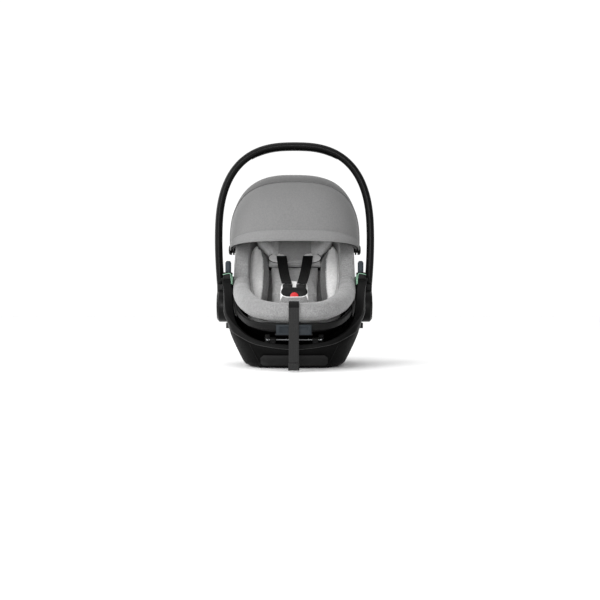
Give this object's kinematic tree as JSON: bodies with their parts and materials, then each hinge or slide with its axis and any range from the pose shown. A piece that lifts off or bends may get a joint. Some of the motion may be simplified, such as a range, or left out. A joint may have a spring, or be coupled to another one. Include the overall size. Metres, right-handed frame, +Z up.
{
  "type": "infant car seat",
  "caption": "Infant carrier car seat with a swinging carry handle, reclining padded seat, harness, sliding headrest and folding canopy.",
  "frame": {"origin": "on the floor under the middle of the whole seat", "axes": "+X across the seat towards the right of someone facing its foot end, +Y from the foot end to the head end, +Z up"},
  "size_m": [0.44, 0.6796, 0.61],
  "materials": {
    "shell_plastic": "fine moulded grain",
    "dark_plastic": "satin",
    "trim_plastic": "satin",
    "handle_plastic": "fine moulded grain",
    "slate_plastic": "satin",
    "green_plastic": "satin",
    "red_plastic": "gloss",
    "buckle_plastic": "satin gloss",
    "rubber": "matt",
    "steel": "zinc plated",
    "chrome": "polished",
    "foam": "expanded foam beads",
    "melange_fabric": "knitted melange",
    "pale_fabric": "soft knit",
    "headrest_fabric": "knitted melange",
    "canopy_fabric": "plain woven",
    "canopy_rear_fabric": "plain woven",
    "webbing": "woven webbing",
    "grey_webbing": "woven webbing"
  },
  "bodies": {
    "carrier": {"base_shell": "shell_plastic", "front_cover": "shell_plastic", "skid_pads": "rubber", "lock_bars": "steel", "recline_rails": "dark_plastic", "recline_rod": "chrome", "rod_clamps": "dark_plastic", "guide_housing_left": "dark_plastic", "guide_housing_right": "dark_plastic", "belt_guide_left": "green_plastic", "belt_guide_right": "green_plastic", "adapter_socket_left": "dark_plastic", "adapter_socket_right": "dark_plastic", "hub_core_left": "dark_plastic", "hub_core_right": "dark_plastic", "pivot_bolts": "steel"},
    "release_tab_left": {"release_tab_left": "slate_plastic"},
    "release_tab_right": {"release_tab_right": "slate_plastic"},
    "handle": {"handle_tube": "handle_plastic", "handle_grip": "rubber", "hub_housing_left": "handle_plastic", "hub_housing_right": "handle_plastic", "button_springs": "steel"},
    "handle_button_left": {"handle_button_left": "dark_plastic", "lock_gear_left": "steel"},
    "handle_button_right": {"handle_button_right": "dark_plastic", "lock_gear_right": "steel"},
    "seat": {"seat_shell": "dark_plastic", "foam_liner": "foam", "recline_shoes": "dark_plastic", "front_trim": "trim_plastic", "padded_rim": "melange_fabric", "side_cover_left": "melange_fabric", "side_cover_right": "melange_fabric", "infant_insert": "melange_fabric", "bolster_left": "pale_fabric", "bolster_right": "pale_fabric", "crotch_strap": "webbing", "crotch_pad": "pale_fabric", "buckle_body": "buckle_plastic", "buckle_tongues": "buckle_plastic", "shoulder_strap_left": "webbing", "shoulder_strap_right": "webbing", "adjuster_housing": "dark_plastic", "adjuster_strap": "grey_webbing", "strap_end": "grey_webbing", "harness_yoke": "steel", "canopy_pivots": "dark_plastic", "canopy_rear_panel": "canopy_rear_fabric"},
    "buckle_button": {"buckle_button": "red_plastic"},
    "adjuster_button": {"adjuster_button": "slate_plastic"},
    "recline_lever": {"recline_lever": "slate_plastic"},
    "headrest": {"headrest_shell": "dark_plastic", "headrest_pad": "headrest_fabric", "strap_guides": "pale_fabric"},
    "headrest_lever": {"headrest_lever": "slate_plastic"},
    "canopy_middle": {"canopy_mid_bow": "dark_plastic"},
    "canopy_front": {"canopy_front_bow": "dark_plastic", "canopy_front_panel": "canopy_fabric"}
  },
  "joints": [
    {"name": "recline", "type": "hinge", "parent": "carrier", "child": "seat", "pos_m": [0, 0.02, 0.43], "axis": [-1, 0, 0], "range_deg": [0, 12]},
    {"name": "handle_pivot", "type": "hinge", "parent": "carrier", "child": "handle", "pos_m": [0, 0.02, 0.16], "axis": [-1, 0, 0], "range_deg": [-30, 105]},
    {"name": "handle_button_left_push", "type": "slide", "parent": "handle", "child": "handle_button_left", "axis": [1, 0, 0], "range_m": [0, 0.003], "stiffness_N_per_m": 3000, "springref_m": -0.001},
    {"name": "handle_button_right_push", "type": "slide", "parent": "handle", "child": "handle_button_right", "axis": [-1, 0, 0], "range_m": [0, 0.003], "stiffness_N_per_m": 3000, "springref_m": -0.001},
    {"name": "release_tab_left_pull", "type": "slide", "parent": "carrier", "child": "release_tab_left", "axis": [0, 0, 1], "range_m": [0, 0.008], "stiffness_N_per_m": 600, "springref_m": -0.002},
    {"name": "release_tab_right_pull", "type": "slide", "parent": "carrier", "child": "release_tab_right", "axis": [0, 0, 1], "range_m": [0, 0.008], "stiffness_N_per_m": 600, "springref_m": -0.002},
    {"name": "buckle_button_push", "type": "slide", "parent": "seat", "child": "buckle_button", "axis": [0, 0.9703, -0.2419], "range_m": [0, 0.003], "stiffness_N_per_m": 2000, "springref_m": -0.001},
    {"name": "adjuster_button_push", "type": "slide", "parent": "seat", "child": "adjuster_button", "axis": [0, 0, -1], "range_m": [0, 0.0035], "stiffness_N_per_m": 1500, "springref_m": -0.001},
    {"name": "recline_lever_pull", "type": "hinge", "parent": "seat", "child": "recline_lever", "pos_m": [0, -0.3355, 0.1135], "axis": [-1, 0, 0], "range_deg": [0, 6], "stiffness_Nm_per_rad": 2, "springref_deg": -2.86},
    {"name": "headrest_slide", "type": "slide", "parent": "seat", "child": "headrest", "axis": [0, 0.6884, 0.7254], "range_m": [0, 0.03]},
    {"name": "headrest_lever_pull", "type": "slide", "parent": "headrest", "child": "headrest_lever", "axis": [0, 0.6884, 0.7254], "range_m": [0, 0.006], "stiffness_N_per_m": 600, "springref_m": -0.002},
    {"name": "canopy_middle_fold", "type": "hinge", "parent": "seat", "child": "canopy_middle", "pos_m": [0, 0.126, 0.315], "axis": [-1, 0, 0], "range_deg": [0, 60]},
    {"name": "canopy_front_fold", "type": "hinge", "parent": "canopy_middle", "child": "canopy_front", "pos_m": [0, 0.126, 0.315], "axis": [-1, 0, 0], "range_deg": [0, 42]}
  ],
  "couplings": [
    {"joint": "canopy_front_fold", "follows": "canopy_middle_fold", "ratio": 0.7}
  ]
}
